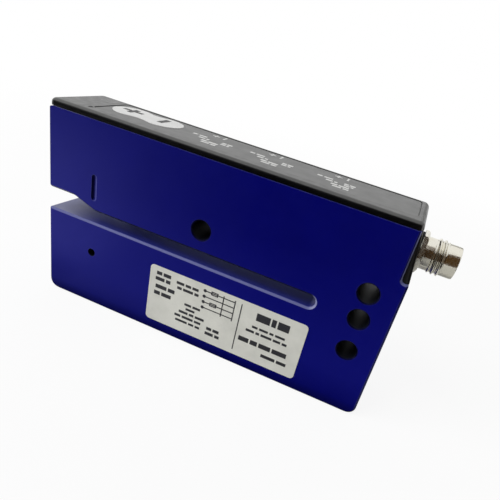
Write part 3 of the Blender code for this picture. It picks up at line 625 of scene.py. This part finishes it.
def groove_bed(finish):
    """A shallow round-bottomed trough, as a ball cutter leaves it, set in the groove."""
    slit, deepest = 0.02, 0.38
    rings = [(slit, deepest)]
    rings += [(GROOVE_RADIUS * k / 6, deepest - BED_DEPTH * (k / 6) ** 2) for k in range(1, 7)]
    rings += [(GROOVE_RADIUS, BED_BACK), (slit, BED_BACK)]
    places = []
    for radius, depth in rings:
        ring = []
        for end, start in ((GROOVE_HIGH, 0.0), (GROOVE_LOW, math.pi)):
            for i in range(13):
                angle = start + math.pi * i / 12
                ring.append(at(GROOVE_X + radius * math.cos(angle), depth,
                               end + radius * math.sin(angle)))
        places.append(ring)
    shape = bmesh.new()
    ring_skin(shape, places)
    smooth_by_angle(new_piece("groove_bed", shape, finish))


# Connector barrel and flange, in fork millimetres

BARREL_STEPS = 96
CONNECTOR_Z = 39.6
BARREL_MOUTH = 92.9
BARREL_RADIUS = 3.42
THREAD_RADIUS = 3.80
BORE_RADIUS = 2.75
BORE_FLOOR = 87.9
SHANK_RADIUS = 3.1
SHANK_END = 79.2
CARRIER_RADIUS = 2.45
THREAD_START = 87.6
THREAD_END = 90.3
THREAD_PITCH = 1.0
THREAD_FADE = 0.35
NECK_FRONT = 85.6
NECK_BACK = 85.4
FLANGE_BACK = 84.91
FLANGE_FRONT = 85.86
FLANGE_APOTHEM = 4.0
TURNED_RADIUS = 4.35
TURNED_STEP = 0.22
TURNED_SLOPE = 0.62


def around(x, radius, angle):
    """A point round the connector's axis."""
    return at(x, 9.0 + radius * math.cos(angle), CONNECTOR_Z + radius * math.sin(angle))


def thread_height(x, angle):
    """How far the helical thread stands off the barrel at a place, 0 to 1."""
    phase = ((x - THREAD_START) / THREAD_PITCH - angle / (2 * math.pi)) % 1.0
    ridge = 0.5 - 0.5 * math.cos(2 * math.pi * phase)
    fade = min(1.0, (x - THREAD_START) / THREAD_FADE, (THREAD_END - x) / THREAD_FADE)
    return ridge * max(0.0, fade)


def connector_barrel(finish):
    """Turned barrel with a helical thread between two plain lands, and its shank."""
    angles = [2 * math.pi * i / BARREL_STEPS for i in range(BARREL_STEPS)]
    profile = [(BORE_RADIUS, BORE_FLOOR), (BORE_RADIUS, BARREL_MOUTH - 0.2),
               (BORE_RADIUS + 0.2, BARREL_MOUTH), (BARREL_RADIUS - 0.3, BARREL_MOUTH),
               (BARREL_RADIUS - 0.08, BARREL_MOUTH - 0.1), (BARREL_RADIUS, BARREL_MOUTH - 0.3)]
    rings = [[around(x, radius, a) for a in angles] for radius, x in profile]
    steps = 60
    for i in range(steps + 1):
        x = THREAD_END + (THREAD_START - THREAD_END) * i / steps
        rings.append([around(x, BARREL_RADIUS + (THREAD_RADIUS - BARREL_RADIUS)
                             * thread_height(x, a), a) for a in angles])
    tail = [(BARREL_RADIUS, NECK_FRONT), (SHANK_RADIUS, NECK_BACK), (SHANK_RADIUS, SHANK_END),
            (CARRIER_RADIUS, SHANK_END), (CARRIER_RADIUS, BORE_FLOOR)]
    rings += [[around(x, radius, a) for a in angles] for radius, x in tail]
    shape = bmesh.new()
    ring_skin(shape, rings)
    made = new_piece("connector_barrel", shape, finish)
    smooth_by_angle(made)
    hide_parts("connector_shell")


def connector_flange(finish):
    """Hexagon flange whose corners are turned off towards its front."""
    steps = 144
    inner = BARREL_RADIUS - 0.1
    turned_rim = TURNED_RADIUS - TURNED_STEP
    corner_radius = FLANGE_APOTHEM / math.cos(math.pi / 6)
    rings = [[], [], [], [], []]
    for i in range(steps):
        angle = 2 * math.pi * i / steps
        hexagon = FLANGE_APOTHEM / math.cos((angle % (math.pi / 3)) - math.pi / 6)
        radius = min(hexagon, corner_radius)
        slope = max(0.0, radius - TURNED_RADIUS + TURNED_STEP) * TURNED_SLOPE
        rings[0].append(around(FLANGE_BACK, inner, angle))
        rings[1].append(around(FLANGE_FRONT, inner, angle))
        rings[2].append(around(FLANGE_FRONT, min(radius - 0.05, turned_rim), angle))
        rings[3].append(around(FLANGE_FRONT - slope - 0.03, radius, angle))
        rings[4].append(around(FLANGE_BACK, radius, angle))
    shape = bmesh.new()
    ring_skin(shape, rings)
    smooth_by_angle(new_piece("connector_flange", shape, finish))


# Stage, lights and camera

FLOOR_RADIUS = 3.0
FLOOR_DROP = 0.05 * MM


def seen_by_eye(nodes, links):
    """1 on rays from the camera, from reflections and through glass, and 0 on the rest."""
    paths = nodes.new("ShaderNodeLightPath")
    seen = paths.outputs["Is Camera Ray"]
    for ray in ("Is Glossy Ray", "Is Transmission Ray"):
        either = nodes.new("ShaderNodeMath")
        either.operation = "MAXIMUM"
        links.new(seen, either.inputs[0])
        links.new(paths.outputs[ray], either.inputs[1])
        seen = either.outputs["Value"]
    return seen


def pale_stage():
    """Floor that shows as white to the eye and in gloss but keeps the soft shadow."""
    material = bpy.data.materials.new("pale_floor")
    material.use_nodes = True
    tree = material.node_tree
    nodes, links = tree.nodes, tree.links
    shader = nodes["Principled BSDF"]
    shader.inputs["Roughness"].default_value = 0.9
    shader.inputs["Specular IOR Level"].default_value = 0.1
    place = nodes.new("ShaderNodeTexCoord")
    mottle = nodes.new("ShaderNodeTexNoise")
    mottle.inputs["Scale"].default_value = 30.0
    tone = nodes.new("ShaderNodeMapRange")
    tone.inputs["To Min"].default_value = 0.88
    tone.inputs["To Max"].default_value = 0.92
    links.new(place.outputs["Object"], mottle.inputs["Vector"])
    links.new(mottle.outputs["Fac"], tone.inputs["Value"])
    links.new(tone.outputs["Result"], shader.inputs["Base Color"])
    glow = nodes.new("ShaderNodeEmission")
    glow.inputs["Strength"].default_value = 1.0
    away = nodes.new("ShaderNodeVectorMath")
    away.operation = "LENGTH"
    links.new(place.outputs["Object"], away.inputs[0])
    fade = nodes.new("ShaderNodeMapRange")
    fade.interpolation_type = "SMOOTHSTEP"
    fade.inputs["From Min"].default_value = 0.09
    fade.inputs["From Max"].default_value = 0.34
    fade.inputs["To Min"].default_value = 0.90
    fade.inputs["To Max"].default_value = 1.0
    links.new(away.outputs["Value"], fade.inputs["Value"])
    share = nodes.new("ShaderNodeMath")
    share.operation = "MULTIPLY"
    links.new(seen_by_eye(nodes, links), share.inputs[0])
    links.new(fade.outputs["Result"], share.inputs[1])
    mix = nodes.new("ShaderNodeMixShader")
    links.new(share.outputs["Value"], mix.inputs["Fac"])
    links.new(shader.outputs["BSDF"], mix.inputs[1])
    links.new(glow.outputs["Emission"], mix.inputs[2])
    links.new(mix.outputs["Shader"], nodes["Material Output"].inputs["Surface"])
    shape = bmesh.new()
    bmesh.ops.create_circle(shape, cap_ends=True, segments=96, radius=FLOOR_RADIUS)
    mesh = bpy.data.meshes.new("floor")
    shape.to_mesh(mesh)
    shape.free()
    floor = bpy.data.objects.new("floor", mesh)
    floor.location = (0.0, 0.0, -FLOOR_DROP)
    bpy.context.scene.collection.objects.link(floor)
    mesh.materials.append(material)


def pale_world(strength):
    """White to the eye and in gloss, and of a set strength as light."""
    world = bpy.data.worlds.new("studio")
    world.use_nodes = True
    nodes, links = world.node_tree.nodes, world.node_tree.links
    background = nodes["Background"]
    background.inputs["Color"].default_value = (1.0, 1.0, 1.0, 1.0)
    level = nodes.new("ShaderNodeMapRange")
    level.inputs["To Min"].default_value = strength
    level.inputs["To Max"].default_value = 1.0
    links.new(seen_by_eye(nodes, links), level.inputs["Value"])
    links.new(level.outputs["Result"], background.inputs["Strength"])
    bpy.context.scene.world = world


def softbox(name, place, target, size, power):
    """A rectangular soft light at place that faces target."""
    light = bpy.data.lights.new(name, "AREA")
    light.shape = "RECTANGLE"
    light.size, light.size_y = size
    light.energy = power
    made = bpy.data.objects.new(name, light)
    made.location = place
    direction = [t - p for t, p in zip(target, place)]
    bpy.context.scene.collection.objects.link(made)
    made.visible_glossy = False
    made.rotation_mode = "QUATERNION"
    made.rotation_quaternion = Vector(direction).to_track_quat("-Z", "Y")


def studio_card(name, corners, colour):
    """A flat matt card that only reflections see."""
    material = bpy.data.materials.new(name)
    material.use_nodes = True
    shader = material.node_tree.nodes["Principled BSDF"]
    shader.inputs["Base Color"].default_value = (*colour, 1.0)
    shader.inputs["Roughness"].default_value = 1.0
    shader.inputs["Specular IOR Level"].default_value = 0.0
    shape = bmesh.new()
    shape.faces.new([shape.verts.new(corner) for corner in corners])
    mesh = bpy.data.meshes.new(name)
    shape.to_mesh(mesh)
    shape.free()
    made = bpy.data.objects.new(name, mesh)
    mesh.materials.append(material)
    bpy.context.scene.collection.objects.link(made)
    made.visible_camera = False
    made.visible_diffuse = False
    made.visible_shadow = False


def studio_cards():
    """Dark, grey and brown cards round the object, as a product photographer places them."""
    flag_y = -0.062
    studio_card("front_flag", [(x, flag_y, z) for x, z in (
        (-0.062, 0.0), (0.045, 0.0), (0.045, 0.115), (0.04, 0.107), (0.004, 0.092),
        (-0.062, 0.084), (-0.150, 0.080), (-0.150, 0.024), (-0.066, 0.024))],
        (0.012, 0.012, 0.014))
    studio_card("brown_flag", [(x, flag_y, z) for x, z in (
        (0.045, 0.0255), (0.16, 0.0255), (0.16, 0.232), (0.045, 0.232))], (0.125, 0.068, 0.026))
    studio_card("floor_flag", [(x, y, 0.001) for x, y in (
        (-0.045, -0.0125), (0.0, -0.0125), (0.0, flag_y), (-0.052, flag_y))],
        (0.36, 0.36, 0.37))
    studio_card("floor_flag_near", [(x, y, 0.0003) for x, y in (
        (-0.10, -0.0082), (0.045, -0.0082), (0.045, -0.023), (-0.10, -0.023))],
        (0.04, 0.04, 0.045))
    studio_card("floor_flag_right", [(x, y, 0.001) for x, y in (
        (0.0, -0.0125), (0.045, -0.0125), (0.045, flag_y), (0.0, flag_y))],
        (0.07, 0.07, 0.08))
    studio_card("floor_grey", [(x, y, 0.0005) for x, y in (
        (0.041, -0.13), (0.12, -0.13), (0.12, 0.05), (0.041, 0.05))], (0.72, 0.72, 0.69))
    studio_card("left_flag", [(-0.140, 0.010, 0.0), (-0.060, 0.080, 0.0),
                              (-0.060, 0.080, 0.036), (-0.140, 0.010, 0.036)],
                (0.01, 0.01, 0.012))
    studio_card("right_flag", [(0.10, -0.06, 0.0), (0.10, 0.06, 0.0), (0.10, 0.06, 0.029),
                               (0.10, -0.06, 0.029)], (0.02, 0.02, 0.02))
    studio_card("right_brown", [(0.10, -0.06, 0.03), (0.10, 0.06, 0.03), (0.10, 0.06, 0.07),
                               (0.10, -0.06, 0.07)], (0.16, 0.13, 0.10))
    studio_card("back_grey", [(0.048, 0.10, 0.055), (0.12, 0.10, 0.055), (0.12, 0.10, 0.10),
                              (0.048, 0.10, 0.10)], (0.5, 0.5, 0.48))


def photo_camera():
    """Camera that matches the photograph's viewpoint, tilt and framing."""
    data = bpy.data.cameras.new("photo_camera")
    data.sensor_width = 36.0
    data.lens = 32.61
    data.shift_x = -0.0563
    data.shift_y = 0.0892
    data.clip_start = 0.005
    data.clip_end = 20.0
    camera = bpy.data.objects.new("photo_camera", data)
    right = (0.9134, 0.3329, 0.2342)
    up = (-0.3607, 0.3952, 0.8448)
    back = (0.1887, -0.8562, 0.4810)
    turn = Matrix((right, up, back)).transposed().to_4x4()
    camera.matrix_world = Matrix.Translation((0.03291, -0.09321, 0.07006)) @ turn
    bpy.context.scene.collection.objects.link(camera)
    bpy.context.scene.camera = camera


# Putting it together

SMOOTH = smooth_group()

blue = anodised_finish("blue_anodised")
groove_blue = anodised_finish("blue_groove", fork_painted_light=False)
black = cover_finish()
film = film_finish("panel_grey", (0.116, 0.117, 0.115), 0.42)
key_white = film_finish("key_white", (0.73, 0.73, 0.72), 0.42)
lens = moulded_finish("lamp_dark", (0.006, 0.008, 0.007), 0.45, shine=0.1)
board = board_finish()
soft = moulded_finish("soft_sleeve", (0.03, 0.03, 0.03), 0.75, 0.2 * MM)
dark_plastic = moulded_finish("dark_plastic", (0.02, 0.02, 0.021), 0.42)
chip = moulded_finish("chip_black", (0.018, 0.018, 0.019), 0.5)
tan = moulded_finish("part_tan", (0.33, 0.24, 0.15), 0.5)
jacket = moulded_finish("lead_jacket", (0.04, 0.04, 0.045), 0.55)
nickel = nickel_finish("nickel", (0.80, 0.78, 0.70), 0.20)
gold = nickel_finish("contact_gold", (0.86, 0.66, 0.30), 0.22)
ceramic = ceramic_finish()
paper = film_finish("label_film", (0.66, 0.66, 0.60), 0.38)
white_ink = ink_finish("white_ink", (0.62, 0.62, 0.61))
dark_ink = ink_finish("dark_ink", (0.025, 0.025, 0.03))
grey_ink = ink_finish("grey_ink", (0.024, 0.024, 0.024))
faint_ink = ink_finish("faint_ink", (0.27, 0.27, 0.27))

DRESS = {
    "fork_body": (blue, 0.12), "cover": (black, 0.1), "panel_film": (film, 0.03),
    "key_field": (key_white, 0.06), "light_guide": (lens, 0.05), "status_led": (tan, 0.05),
    "main_board": (board, 0.0), "connector_board": (board, 0.0),
    "plus_switch": (dark_plastic, 0.1), "minus_switch": (dark_plastic, 0.1),
    "controller_chip": (chip, 0.1), "driver_chip": (chip, 0.1), "capacitor_1": (tan, 0.1),
    "capacitor_2": (tan, 0.1), "coil": (chip, 0.2), "emitter": (ceramic, 0.08),
    "receiver": (ceramic, 0.08), "emitter_sleeve": (soft, 0.05), "receiver_sleeve": (soft, 0.05),
    "emitter_lead": (jacket, 0.0), "receiver_lead": (jacket, 0.0),
    "receiver_plug": (dark_plastic, 0.12), "duct_plug": (dark_plastic, 0.1),
    "connector_nut": (nickel, 0.08), "connector_insert": (dark_plastic, 0.05),
    "contact_pin_1": (gold, 0.0), "contact_pin_2": (gold, 0.0), "contact_pin_3": (gold, 0.0),
    "contact_pin_4": (gold, 0.0), "connector_seal": (soft, 0.0), "label": (paper, 0.03),
    "connector_shell": (nickel, 0.0),
}
for name, (finish, width) in DRESS.items():
    node = NODES[name]
    node.data.materials.clear()
    node.data.materials.append(finish)
    soften(node, width * MM)

groove_bed(groove_blue)
connector_barrel(nickel)
connector_flange(nickel)
panel_marks(white_ink, grey_ink, faint_ink)
label_marks(dark_ink)

pale_stage()
pale_world(0.30)
softbox("key_light", (-0.30, -0.28, 0.55), (0.0, 0.0, 0.02), (0.40, 0.40), 2.4)
softbox("back_light", (-0.10, 0.55, 0.40), (0.0, 0.0, 0.03), (1.20, 0.35), 1.2)
softbox("side_light", (-0.50, -0.25, 0.12), (0.0, 0.0, 0.02), (0.30, 0.30), 1.3)
studio_cards()
photo_camera()
bpy.context.scene.view_settings.view_transform = "Standard"
